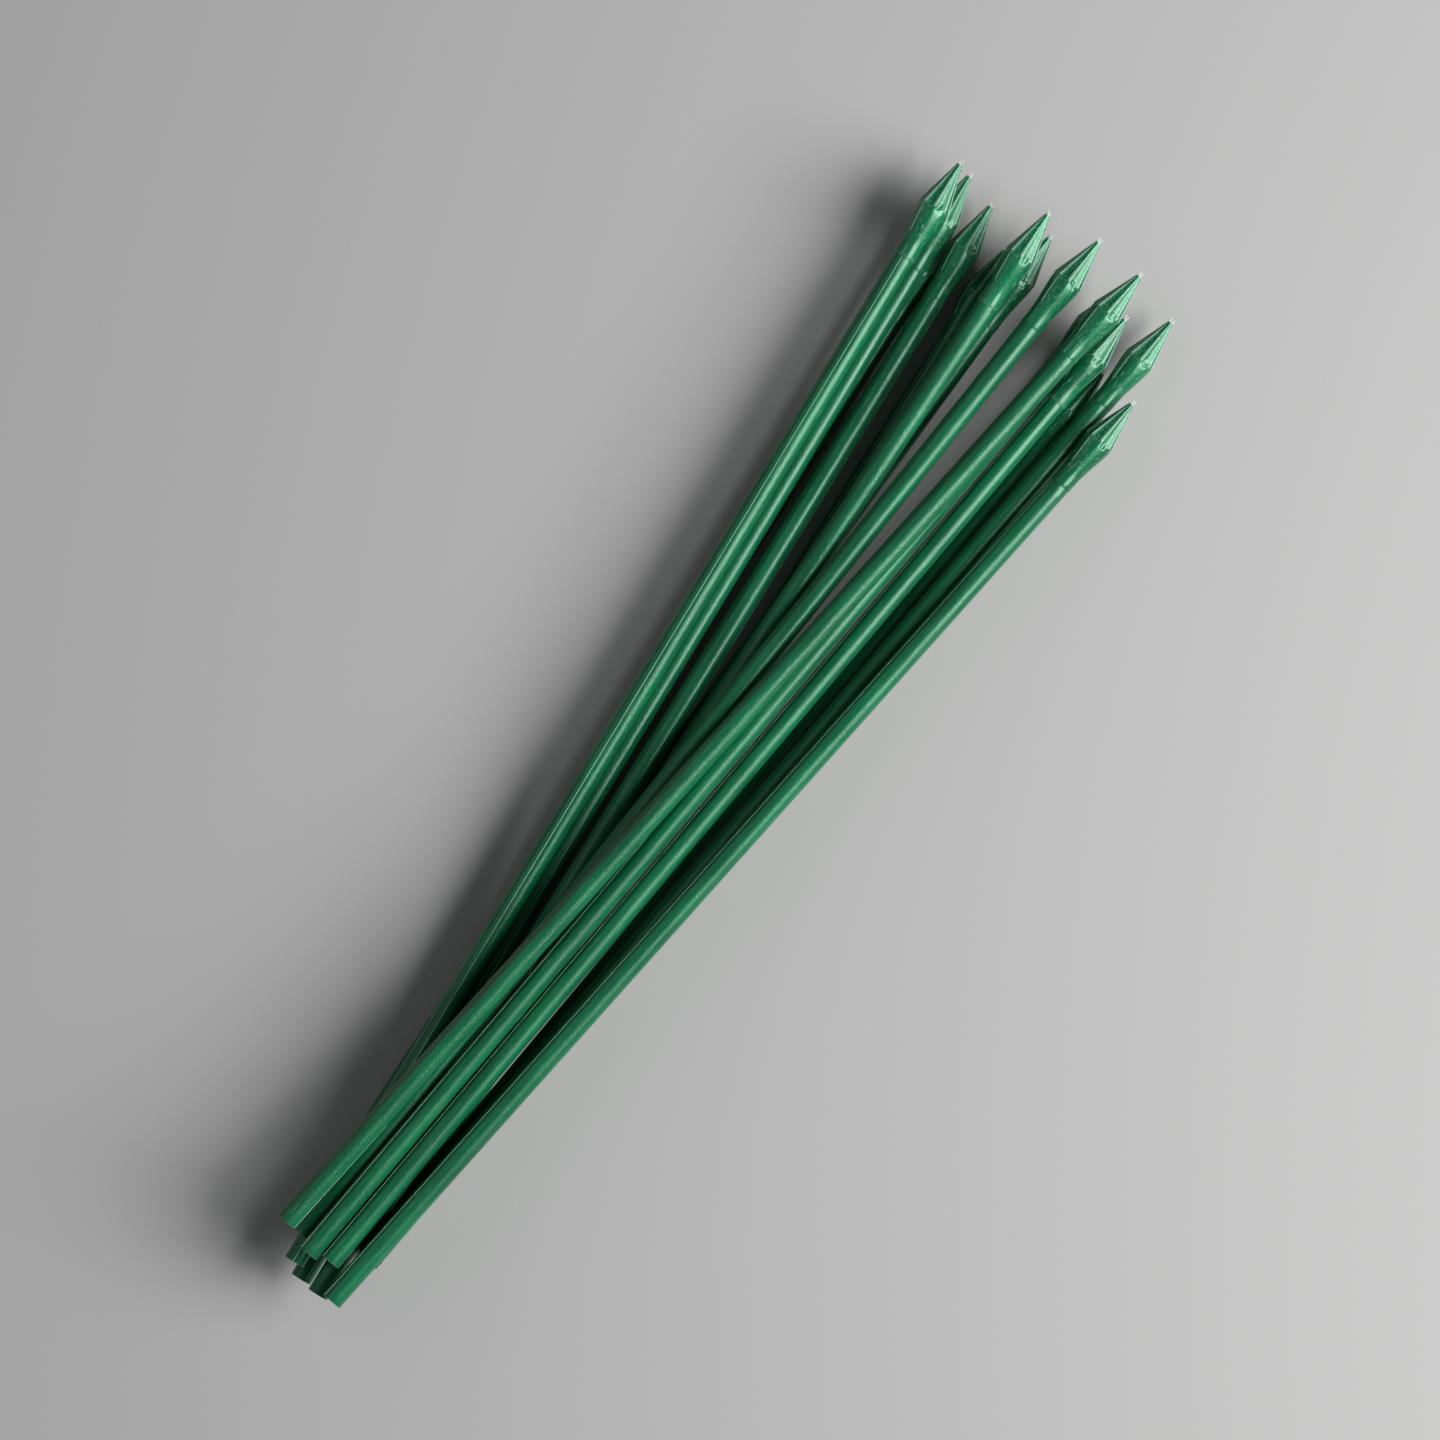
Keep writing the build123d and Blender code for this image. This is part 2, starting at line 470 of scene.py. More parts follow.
LOOSE_FIBRE = GlassFibre(
    name="loose_glass_fibre",
    resin=(0.62, 0.64, 0.58, 1.0),
    glass=(0.88, 0.89, 0.86, 1.0),
    grain_pitch=0.2 * MM,
    roughness=0.45,
)


# ---- geometry trees -------------------------------------------------------------------------


def store(w: TreeWriter, geometry: Any, name: str, value: Any, kind: str = "FLOAT") -> Any:
    """Store a named attribute on the points of a geometry.

    Args:
        w: the tree's writer.
        geometry: the geometry to mark.
        name: the attribute's name.
        value: a plain value or a socket.
        kind: the attribute's data type.

    Returns:
        The marked geometry.
    """
    values = {"Geometry": geometry, "Name": name, "Value": value}
    node = w.add("GeometryNodeStoreNamedAttribute", data_type=kind, domain="POINT")
    for socket, given in values.items():
        w.feed(node.inputs[socket], given)
    return node.outputs[0]


def finish_tree(w: TreeWriter, given: Any, layers: Sequence[Any], shift: Any) -> None:
    """End a tree: join the layers, make them real, keep their own space and set the material.

    Args:
        w: the tree's writer.
        given: the tree's input sockets.
        layers: the geometries to join, the plain skin first.
        shift: how far the patterns are shifted on this piece.
    """
    joined = w.add("GeometryNodeJoinGeometry")
    for layer in reversed(layers):
        w.tree.links.new(layer, joined.inputs[0])
    real = w.add("GeometryNodeRealizeInstances", {0: joined.outputs[0]}).outputs[0]
    position = w.add("GeometryNodeInputPosition").outputs[0]
    shifted = w.add("ShaderNodeVectorMath", {0: position, 1: shift}, operation="ADD").outputs[0]
    stored = store(w, real, SPACE_ATTRIBUTE, shifted, "FLOAT_VECTOR")
    dressed = w.add("GeometryNodeSetMaterial", {"Geometry": stored, "Material": given["Material"]})
    w.add("NodeGroupOutput", {0: dressed.outputs[0]})


class GeometryTree:
    """A geometry tree with named inputs."""

    name = "tree"
    inputs: tuple[tuple[str, str], ...] = ()

    def __init__(self) -> None:
        """Make the tree's sockets and fill it."""
        self.tree = bpy.data.node_groups.new(self.name, "GeometryNodeTree")
        kinds = (("Geometry", "Geometry"),) + self.inputs
        for label, kind in kinds:
            self.tree.interface.new_socket(label, in_out="INPUT", socket_type="NodeSocket" + kind)
        self.tree.interface.new_socket("Geometry", in_out="OUTPUT", socket_type="NodeSocketGeometry")
        w = TreeWriter(self.tree)
        self.fill(w, w.add("NodeGroupInput").outputs)

    def fill(self, w: TreeWriter, given: Any) -> None:
        """Add the tree's nodes."""
        raise NotImplementedError


class RidgeLines(GeometryTree):
    """Runs fine beads down a skin, evenly spaced round its axis, paled by their Wear value: real wear, and a
    painted highlight on die lines and crests.
    """

    name = "ridge_lines"
    inputs = (
        ("Line Count", "Int"),
        ("First Angle", "Float"),
        ("Foot", "Vector"),
        ("Tip", "Vector"),
        ("Bead Radius", "Float"),
        ("Tip Share", "Float"),
        ("Wear", "Float"),
        ("Space Shift", "Vector"),
        ("Material", "Material"),
    )

    def fill(self, w: TreeWriter, given: Any) -> None:
        """Sweep one bead along a straight line and set copies of it round the axis."""
        line = w.add("GeometryNodeCurvePrimitiveLine", {"Start": given["Foot"], "End": given["Tip"]})
        line = w.add("GeometryNodeResampleCurve", {"Curve": line.outputs[0], "Count": 16}).outputs[0]
        along = w.add("GeometryNodeSplineParameter").outputs["Factor"]
        taper = w.add(
            "ShaderNodeMapRange", {0: along, 1: 0.0, 2: 1.0, 3: 1.0, 4: given["Tip Share"]}
        ).outputs[0]
        section = w.add(
            "GeometryNodeCurvePrimitiveCircle", {"Resolution": 8, "Radius": given["Bead Radius"]}
        ).outputs[0]
        bead = w.add(
            "GeometryNodeCurveToMesh",
            {"Curve": line, "Profile Curve": section, "Scale": taper, "Fill Caps": True},
        ).outputs[0]
        posts = w.add("GeometryNodeMeshLine", {"Count": given["Line Count"], "Offset": (0.0, 0.0, 0.0)})
        index = w.add("GeometryNodeInputIndex").outputs[0]
        step = w.math("DIVIDE", 2 * math.pi, given["Line Count"])
        turn = w.math("ADD", w.math("MULTIPLY", index, step), given["First Angle"])
        turned = w.add("ShaderNodeCombineXYZ", {0: turn}).outputs[0]
        beads = w.add(
            "GeometryNodeInstanceOnPoints",
            {"Points": posts.outputs[0], "Instance": bead, "Rotation": turned},
        ).outputs[0]
        beads = w.add("GeometryNodeRealizeInstances", {0: beads}).outputs[0]
        worn = store(w, beads, WEAR_AND_SHEEN_ATTRIBUTE, given["Wear"])
        finish_tree(w, given, [given["Geometry"], worn], given["Space Shift"])


class SurfaceMarks(GeometryTree):
    """Gives a drawn or moulded skin a slight chatter and small flecks that stick to it."""

    name = "surface_marks"
    inputs = (
        ("Chatter Height", "Float"),
        ("Chatter Pitch", "Float"),
        ("Flecks Per Area", "Float"),
        ("Fleck Size", "Float"),
        ("Mottle", "Float"),
        ("Seed", "Int"),
        ("Space Shift", "Vector"),
        ("Material", "Material"),
    )

    def fill(self, w: TreeWriter, given: Any) -> None:
        """Move the open skin in and out by a noise, then scatter the flecks over it."""
        position = w.add("GeometryNodeInputPosition").outputs[0]
        shifted = w.add(
            "ShaderNodeVectorMath", {0: position, 1: given["Space Shift"]}, operation="ADD"
        ).outputs[0]
        frequency = w.math("DIVIDE", 1.0, given["Chatter Pitch"])
        chatter = w.add(
            "ShaderNodeTexNoise", {"Vector": shifted, "Scale": frequency, "Detail": 2.0}
        ).outputs[0]
        level = w.math("MULTIPLY", w.math("SUBTRACT", chatter, 0.5), given["Chatter Height"])
        outwards = w.add("GeometryNodeInputNormal").outputs[0]
        offset = w.add(
            "ShaderNodeVectorMath", {0: outwards, "Scale": level}, operation="SCALE"
        ).outputs[0]
        keep = w.add(
            "GeometryNodeInputNamedAttribute", {"Name": OPEN_ATTRIBUTE}, data_type="FLOAT"
        ).outputs[0]
        moved = w.add(
            "GeometryNodeSetPosition",
            {
                "Geometry": given["Geometry"],
                "Selection": w.math("GREATER_THAN", keep, 0.01),
                "Offset": offset,
            },
        ).outputs[0]
        spots = w.add(
            "GeometryNodeDistributePointsOnFaces",
            {
                "Mesh": moved,
                "Density": w.math("MULTIPLY", keep, given["Flecks Per Area"]),
                "Seed": given["Seed"],
            },
        )
        fleck = w.add("GeometryNodeMeshIcoSphere", {"Radius": given["Fleck Size"], "Subdivisions": 1})
        stretch = w.add(
            "FunctionNodeRandomValue",
            {0: (0.4, 0.3, 0.15), 1: (1.7, 0.9, 0.6), "Seed": given["Seed"]},
            data_type="FLOAT_VECTOR",
        ).outputs[0]
        flecks = w.add(
            "GeometryNodeInstanceOnPoints",
            {
                "Points": spots.outputs["Points"],
                "Instance": fleck.outputs["Mesh"],
                "Rotation": spots.outputs["Rotation"],
                "Scale": stretch,
            },
        ).outputs[0]
        flecks = w.add("GeometryNodeRealizeInstances", {0: flecks}).outputs[0]
        flecks = store(w, flecks, WEAR_AND_SHEEN_ATTRIBUTE, 0.9)
        both = w.add("GeometryNodeJoinGeometry", {0: flecks})
        w.tree.links.new(moved, both.inputs[0])
        mottled = store(w, both.outputs[0], MOTTLE_ATTRIBUTE, given["Mottle"])
        finish_tree(w, given, [mottled], given["Space Shift"])


class StrandTuft(GeometryTree):
    """Grows the short glass strands that stand out of a tip on one root."""

    name = "strand_tuft"
    inputs = (
        ("Strand Count", "Int"),
        ("Rim Radius", "Float"),
        ("Strand Radius", "Float"),
        ("Strand Length", "Float"),
        ("Lean", "Float"),
        ("Root Length", "Float"),
        ("First Angle", "Float"),
        ("Seed", "Int"),
        ("Space Shift", "Vector"),
        ("Material", "Material"),
    )

    def fill(self, w: TreeWriter, given: Any) -> None:
        """Set bowed strands round the rim of a short root."""
        length = given["Strand Length"]
        posts = w.add("GeometryNodeMeshLine", {"Count": given["Strand Count"], "Offset": (0.0, 0.0, 0.0)})
        index = w.add("GeometryNodeInputIndex").outputs[0]
        step = w.math("DIVIDE", 2 * math.pi, given["Strand Count"])
        turn = w.math("ADD", w.math("MULTIPLY", index, step), given["First Angle"])
        across = w.math("MULTIPLY", given["Rim Radius"], w.math("COSINE", turn))
        upwards = w.math("MULTIPLY", given["Rim Radius"], w.math("SINE", turn))
        spot = w.add(
            "ShaderNodeCombineXYZ", {0: w.math("MULTIPLY", length, -0.3), 1: across, 2: upwards}
        ).outputs[0]
        placed = w.add("GeometryNodeSetPosition", {"Geometry": posts.outputs[0], "Position": spot}).outputs[0]
        top = w.add("ShaderNodeCombineXYZ", {0: w.math("MULTIPLY", length, 1.3)}).outputs[0]
        strand = w.add("GeometryNodeCurvePrimitiveLine", {"Start": (0.0, 0.0, 0.0), "End": top}).outputs[0]
        strand = w.add("GeometryNodeResampleCurve", {"Curve": strand, "Count": 9}).outputs[0]
        along = w.add("GeometryNodeSplineParameter").outputs["Factor"]
        bow = w.math("MULTIPLY", w.math("MULTIPLY", along, along), given["Lean"])
        sway = w.add("ShaderNodeCombineXYZ", {1: w.math("MULTIPLY", bow, length)}).outputs[0]
        bent = w.add("GeometryNodeSetPosition", {"Geometry": strand, "Offset": sway}).outputs[0]
        taper = w.add("ShaderNodeMapRange", {0: along, 1: 0.0, 2: 1.0, 3: 1.0, 4: 0.6}).outputs[0]
        section = w.add(
            "GeometryNodeCurvePrimitiveCircle", {"Resolution": 8, "Radius": given["Strand Radius"]}
        ).outputs[0]
        swept = w.add(
            "GeometryNodeCurveToMesh",
            {"Curve": bent, "Profile Curve": section, "Scale": taper, "Fill Caps": True},
        ).outputs[0]
        turned = w.add("ShaderNodeCombineXYZ", {0: turn}).outputs[0]
        height = w.add(
            "FunctionNodeRandomValue", {2: 0.7, 3: 1.1, "Seed": given["Seed"]}, data_type="FLOAT"
        ).outputs[1]
        size = w.add("ShaderNodeCombineXYZ", {0: height, 1: 1.0, 2: 1.0}).outputs[0]
        strands = w.add(
            "GeometryNodeInstanceOnPoints",
            {"Points": placed, "Instance": swept, "Rotation": turned, "Scale": size},
        ).outputs[0]
        root_radius = w.math("ADD", given["Rim Radius"], given["Strand Radius"])
        root = w.add(
            "GeometryNodeMeshCylinder",
            {"Vertices": 24, "Side Segments": 2, "Radius": root_radius, "Depth": given["Root Length"]},
        ).outputs["Mesh"]
        sunk = w.add("ShaderNodeCombineXYZ", {0: w.math("MULTIPLY", given["Root Length"], -0.5)}).outputs[0]
        root = w.add(
            "GeometryNodeTransform",
            {"Geometry": root, "Translation": sunk, "Rotation": (0.0, math.pi / 2, 0.0)},
        ).outputs[0]
        finish_tree(w, given, [root, strands], given["Space Shift"])


def mark(piece: bpy.types.Object, name: str, weight: Callable[[Vector], float]) -> None:
    """Store a number for each vertex under a name.

    Args:
        piece: the piece, in marker space.
        name: the attribute's name.
        weight: gives the number from the vertex's place.
    """
    layer = piece.data.attributes.new(name, "FLOAT", "POINT")
    for vertex, value in zip(piece.data.vertices, layer.data):
        value.value = weight(vertex.co)


# ---- the pieces of a marker -----------------------------------------------------------------


@dataclass(frozen=True)
class Wear:
    """What sets one marker's surface apart from the others'."""

    die_line_angle: float
    die_line_reach: float = 1.0
    mottle: float = 1.0
    dust: float = 0.0


def wear_of(number: int) -> Wear:
    """The wear of one marker: a few have marks of their own, and the rest differ by chance."""
    own = {
        4: Wear(math.radians(205), mottle=2.2),
        # Die lines close to the edge in view on 11, 12, 13 and 14: real raised beads, painted full pale as a
        # highlight along the edge.
        11: Wear(math.radians(36)),
        12: Wear(math.radians(38)),
        13: Wear(math.radians(168), die_line_reach=0.12, mottle=2.0, dust=0.9),
        14: Wear(math.radians(35)),
    }
    chance = random.Random(number)
    return own.get(number, Wear(chance.uniform(0, 2 * math.pi), mottle=chance.uniform(0.8, 1.4)))


@dataclass(frozen=True)
class Jacket:
    """The green plastic jacket over the rod."""

    outer_radius: float = 5.28 * MM
    bore_radius: float = 4.78 * MM
    rim_round: float = 0.14 * MM
    side_count: int = 72
    ring_pitch: float = 6 * MM
    chatter_height: float = 0.07 * MM
    chatter_pitch: float = 13 * MM
    die_line_radius: float = 0.2 * MM
    die_line_sink: float = 0.07 * MM
    line_inset: float = 0.3 * MM
    flecks_per_area: float = 1200.0
    fleck_size: float = 0.17 * MM

    def build(self, place: MarkerPlace, wear: Wear) -> bpy.types.Object:
        """Skin the jacket from one rounded rim to the other, outside and bore.

        Args:
            place: where the marker lies.
            wear: the marker's own marks.

        Returns:
            The jacket, in marker space.
        """
        angles = [2 * math.pi * i / self.side_count for i in range(self.side_count)]
        length = place.jacket_length
        turn = self.rim_round
        outline: list[tuple[float, float]] = []
        for angle in arc_steps(4):
            outline.append((turn - turn * math.cos(angle), self.outer_radius - turn + turn * math.sin(angle)))
        rings = max(2, round(length / self.ring_pitch))
        for i in range(1, rings):
            outline.append((turn + (length - 2 * turn) * i / rings, self.outer_radius))
        for angle in arc_steps(4):
            outline.append(
                (length - turn + turn * math.sin(angle), self.outer_radius - turn + turn * math.cos(angle))
            )
        outline.append((length, self.bore_radius))
        outline.append((0.0, self.bore_radius))
        circles = [ring_at(x, angles, lambda _a, r=r: r) for x, r in outline]
        piece = skin(place.node("jacket") + "_skin", circles, None, None)

        def open_skin(corner: Vector) -> float:
            """1 on the outside of the jacket, away from its rims."""
            outside = math.hypot(corner.y, corner.z) > self.outer_radius - 0.01 * MM
            return float(outside and turn < corner.x < length - turn)

        def dusty(corner: Vector) -> float:
            """A film of dust along the left side, near the cut end."""
            angle = math.atan2(corner.z, corner.y)
            side = math.exp(-(((angle - math.radians(28)) / math.radians(24)) ** 2))
            reach = max(0.0, min(1.0, (0.36 - corner.x) / 0.12))
            return wear.dust * side * reach

        mark(piece, OPEN_ATTRIBUTE, open_skin)
        mark(piece, WEAR_AND_SHEEN_ATTRIBUTE, lambda c: 0.55 * float(c.x < turn))
        mark(piece, DUST_ATTRIBUTE, dusty)
        return piece


@dataclass(frozen=True)
class Chip:
    """A flat-bottomed chip out of the point's shoulder, longer than it is wide."""

    x: float
    angle: float
    half_length: float
    half_width: float
    depth: float

    def cut(self, x: float, angle: float, radius: float) -> float:
        """How deep the chip is at a spot on the surface."""
        around = (angle - self.angle + math.pi) % (2 * math.pi) - math.pi
        inside = min(1 - abs(x - self.x) / self.half_length, 1 - abs(around) * radius / self.half_width)
        return self.depth * max(0.0, min(1.0, inside * 3))


@dataclass(frozen=True)
class Point:
    """The moulded spear point: skirt, hollow flare, belt and faceted spike."""

    bore_radius: float = 4.78 * MM
    socket_depth: float = 30 * MM
    skirt_radius: float = 5.53 * MM
    skirt_length: float = 6 * MM
    flare_length: float = 20 * MM
    belt_length: float = 2.4 * MM
    spike_length: float = 24 * MM
    shoulder_radius: float = 8 * MM
    shoulder_step: float = 0.12 * MM
    tip_radius: float = 1.4 * MM
    pocket_radius: float = 0.93 * MM
    pocket_depth: float = 3.03 * MM
    facet_count: int = 8
    facet_hollow: float = 0.14 * MM
    crest_cut: float = 0.978
    scallop_depth: float = 0.9 * MM
    crest_radius: float = 0.2 * MM
    score_radius: float = 0.09 * MM
    seam_height: float = 0.18 * MM
    chatter_height: float = 0.05 * MM
    chatter_pitch: float = 5 * MM
    flecks_per_area: float = 60000.0
    fleck_size: float = 0.17 * MM
    columns_per_facet: int = 14
    spike_rings: int = 46
    flare_rings: int = 32

    @property
    def length(self) -> float:
        """Length from the foot of the skirt to the blunt tip."""
        return self.skirt_length + self.flare_length + self.belt_length + self.spike_length

    @property
    def facet(self) -> float:
        """Angle from one crest to the next."""
        return 2 * math.pi / self.facet_count

    def facet_share(self, angle: float, crest: float) -> float:
        """How far an angle lies from one crest to the next, from 0 to 1."""
        return ((angle - crest) / self.facet + 1e-9) % 1.0

    def polygon(self, angle: float, crest: float, corner: float) -> float:
        """Radius of a regular polygon with this corner radius, at an angle."""
        half = self.facet / 2
        within = self.facet_share(angle, crest) * self.facet
        return corner * min(self.crest_cut, math.cos(half) / math.cos(within - half))

    def nearest_crest(self, place: MarkerPlace, wanted: float) -> float:
        """Angle of the crest nearest to a wanted angle, in degrees from the left."""
        steps = round((math.radians(wanted) - place.crest_angle) / self.facet)
        return place.crest_angle + steps * self.facet

    def chips(self, place: MarkerPlace) -> list[Chip]:
        """The chips round one marker's shoulder, the largest at the foot of its upper right facet."""
        chance = random.Random(place.number * 7 + 1)
        spike_foot = place.jacket_length + self.length - self.spike_length
        right_crest = self.nearest_crest(place, 93)
        found = []
        for i in range(6):
            large = i < 2
            turn = chance.uniform(0.25, 0.7) if large else chance.uniform(-3.0, 4.0)
            x = spike_foot + (chance.uniform(-1.5, 1.5) if large else chance.uniform(-2.0, 3.5)) * MM
            half_length = (chance.uniform(1.4, 2.3) if large else chance.uniform(0.4, 1.1)) * MM
            half_width = (chance.uniform(0.7, 1.2) if large else chance.uniform(0.3, 0.6)) * MM
            depth = chance.uniform(0.25, 0.45) * MM
            found.append(Chip(x, right_crest + turn * self.facet, half_length, half_width, depth))
        return found

    def build(self, place: MarkerPlace) -> bpy.types.Object:
        """Skin the point from the end of its socket, over the outside, to the pocket in the tip.

        Args:
            place: where the marker lies.

        Returns:
            The point, in marker space.
        """
        crest = place.crest_angle
        columns = self.columns_per_facet
        eased = [0.5 - 0.5 * math.cos(math.pi * k / columns) for k in range(columns)]
        shares = [0.6 * e + 0.4 * k / columns for k, e in enumerate(eased)]
        angles = [crest + self.facet * (i + share) for i in range(self.facet_count) for share in shares]
        chips = self.chips(place)
        foot = place.jacket_length
        flare_foot = foot + self.skirt_length
        spike_foot = flare_foot + self.flare_length + self.belt_length
        tip = foot + self.length
        rings: list[list[Vector]] = []

        def circle(x: float, radius: float) -> None:
            """Add a round ring."""
            rings.append(ring_at(x, angles, lambda _a: radius))

        def chipped(x_at: RadiusAt, radius: RadiusAt) -> None:
            """Add a ring of the outside, with the chips taken out of it."""
            ring = []
            for angle in angles:
                x, r = x_at(angle), radius(angle)
                r -= max(chip.cut(x, angle, r) for chip in chips)
                ring.append(Vector((x, r * math.cos(angle), r * math.sin(angle))))
            rings.append(ring)

        socket_end = foot + self.socket_depth
        for i in range(6):
            circle(socket_end - self.socket_depth * i / 6, self.bore_radius)
        circle(foot, self.bore_radius)
        lip = 0.18 * MM
        for angle in arc_steps(4):
            circle(foot + lip - lip * math.cos(angle), self.skirt_radius - lip + lip * math.sin(angle))
        circle(foot + self.skirt_length * 0.4, self.skirt_radius)
        circle(flare_foot, self.skirt_radius)

        seams = (self.nearest_crest(place, 48), self.nearest_crest(place, 228))

        def seam(angle: float) -> float:
            """Height of the mould seam at an angle, from 0 to 1."""
            gap = min(abs((angle - s + math.pi) % (2 * math.pi) - math.pi) for s in seams)
            return math.exp(-((gap * self.skirt_radius / (0.2 * MM)) ** 2))

        belt_corner = self.shoulder_radius - self.shoulder_step

        def body_radius(share: float, angle: float) -> float:
            """Radius of the flare and belt: round at the skirt, softly eight-sided at the belt."""
            swell = share * share * (3 - 2 * share) * 0.55 + share ** 1.6 * 0.45
            blend = share ** 3
            softened = 0.5 * (self.polygon(angle, crest, belt_corner) + belt_corner * 0.955)
            top = blend * softened + (1 - blend) * belt_corner * 0.955
            radius = self.skirt_radius + swell * (top - self.skirt_radius)
            return radius + self.seam_height * seam(angle) * min(1.0, share * 6)

        for i in range(1, self.flare_rings + 1):
            share = i / self.flare_rings
            x = flare_foot + self.flare_length * share
            chipped(lambda _a, x=x: x, lambda a, s=share: body_radius(s, a))

        def scallop(angle: float) -> float:
            """How far the spike's foot hangs down over the belt, most at the middle of a facet."""
            return self.scallop_depth * math.sin(math.pi * self.facet_share(angle, crest)) ** 1.5

        def belt_radius(angle: float) -> float:
            """Radius of the belt, kept just under the overhanging foot of the spike."""
            return min(body_radius(1.0, angle), self.polygon(angle, crest, self.shoulder_radius) - 0.1 * MM)

        def spike_radius(share: float, angle: float) -> float:
            """Radius of the faceted spike, with hollow facets."""
            corner = self.shoulder_radius + (self.tip_radius - self.shoulder_radius) * share
            hollow = self.facet_hollow * math.sin(math.pi * self.facet_share(angle, crest)) ** 2
            return self.polygon(angle, crest, corner) - hollow * (1 - share) * min(1.0, 6 * share)

        for up in (0.25, 0.5, 0.75, 1.0):
            chipped(
                lambda a, u=up: spike_foot - self.belt_length * (1 - u) - scallop(a) * u, belt_radius
            )
        for rise, inset in ((0.0, 0.06 * MM), (0.05 * MM, 0.02 * MM), (0.16 * MM, 0.0)):
            chipped(
                lambda a, r=rise: spike_foot - scallop(a) + r,
                lambda a, n=inset: self.polygon(a, crest, self.shoulder_radius) - n,
            )
        spike_end = tip - 0.12 * MM
        for i in range(1, self.spike_rings + 1):
            share = i / self.spike_rings
            chipped(
                lambda a, s=share: (spike_foot + 0.16 * MM - scallop(a)) * (1 - s) + spike_end * s,
                lambda a, s=share: spike_radius(s, a),
            )
        rings.append(ring_at(tip, angles, lambda a: self.polygon(a, crest, self.tip_radius - 0.12 * MM)))
        circle(tip, self.pocket_radius)
        circle(tip - self.pocket_depth, self.pocket_radius)
        start_pole = Vector((socket_end, 0, 0))
        end_pole = Vector((tip - self.pocket_depth, 0, 0))
        piece = skin(place.node("point") + "_moulding", rings, start_pole, end_pole)

        def fleck_weight(corner: Vector) -> float:
            """How likely a fleck is: most at the skirt's foot and under the spike's foot."""
            radius = math.hypot(corner.y, corner.z)
            inside = radius < self.skirt_radius - 0.2 * MM and corner.x < spike_foot
            if inside or corner.x > tip - 4 * MM:
                return 0.0
            near_foot = math.exp(-(((corner.x - foot - 0.5 * MM) / (1.0 * MM)) ** 2))
            near_shoulder = math.exp(-(((corner.x - spike_foot + 1.0 * MM) / (2.5 * MM)) ** 2))
            return 0.04 + 0.22 * near_foot + 0.3 * near_shoulder

        def worn(corner: Vector) -> float:
            """Paler plastic along the seams, the skirt's rim, the spike's foot and its tip."""
            angle = math.atan2(corner.z, corner.y)
            edge = abs(corner.x - (spike_foot - scallop(angle) + 0.08 * MM)) < 0.09 * MM
            flare = 0.8 * seam(angle) * float(flare_foot + 0.35 * self.flare_length < corner.x < spike_foot)
            rim = 0.12 * float(corner.x < foot + lip)
            return max(0.12 * float(edge), flare, rim, 0.4 * float(corner.x > spike_end - 0.01 * MM))

        mark(piece, OPEN_ATTRIBUTE, fleck_weight)
        mark(piece, WEAR_AND_SHEEN_ATTRIBUTE, worn)
        return piece


@dataclass(frozen=True)
class Tuft:
    """The glass strands that stand out of the blunt tip."""

    rim_radius: float = 0.61 * MM
    strand_radius: float = 0.31 * MM
    strand_length: float = 2.5 * MM
    lean: float = 0.2
    root_length: float = 3 * MM

    def build(self, place: MarkerPlace) -> bpy.types.Object:
        """Make the empty object that the strands are grown on."""
        return new_piece(place.node("tuft") + "_strands", [], [])


@dataclass
class Trees:
    """The geometry trees that all markers share."""

    marks: SurfaceMarks = field(default_factory=SurfaceMarks)
    ridges: RidgeLines = field(default_factory=RidgeLines)
    strands: StrandTuft = field(default_factory=StrandTuft)


@dataclass
class Finishes:
    """The materials that all markers share."""

    jacket: bpy.types.Material = field(default_factory=JACKET_PLASTIC.make)
    point: bpy.types.Material = field(default_factory=POINT_PLASTIC.make)
    core: bpy.types.Material = field(default_factory=SAWN_FIBRE.make)
    tuft: bpy.types.Material = field(default_factory=LOOSE_FIBRE.make)


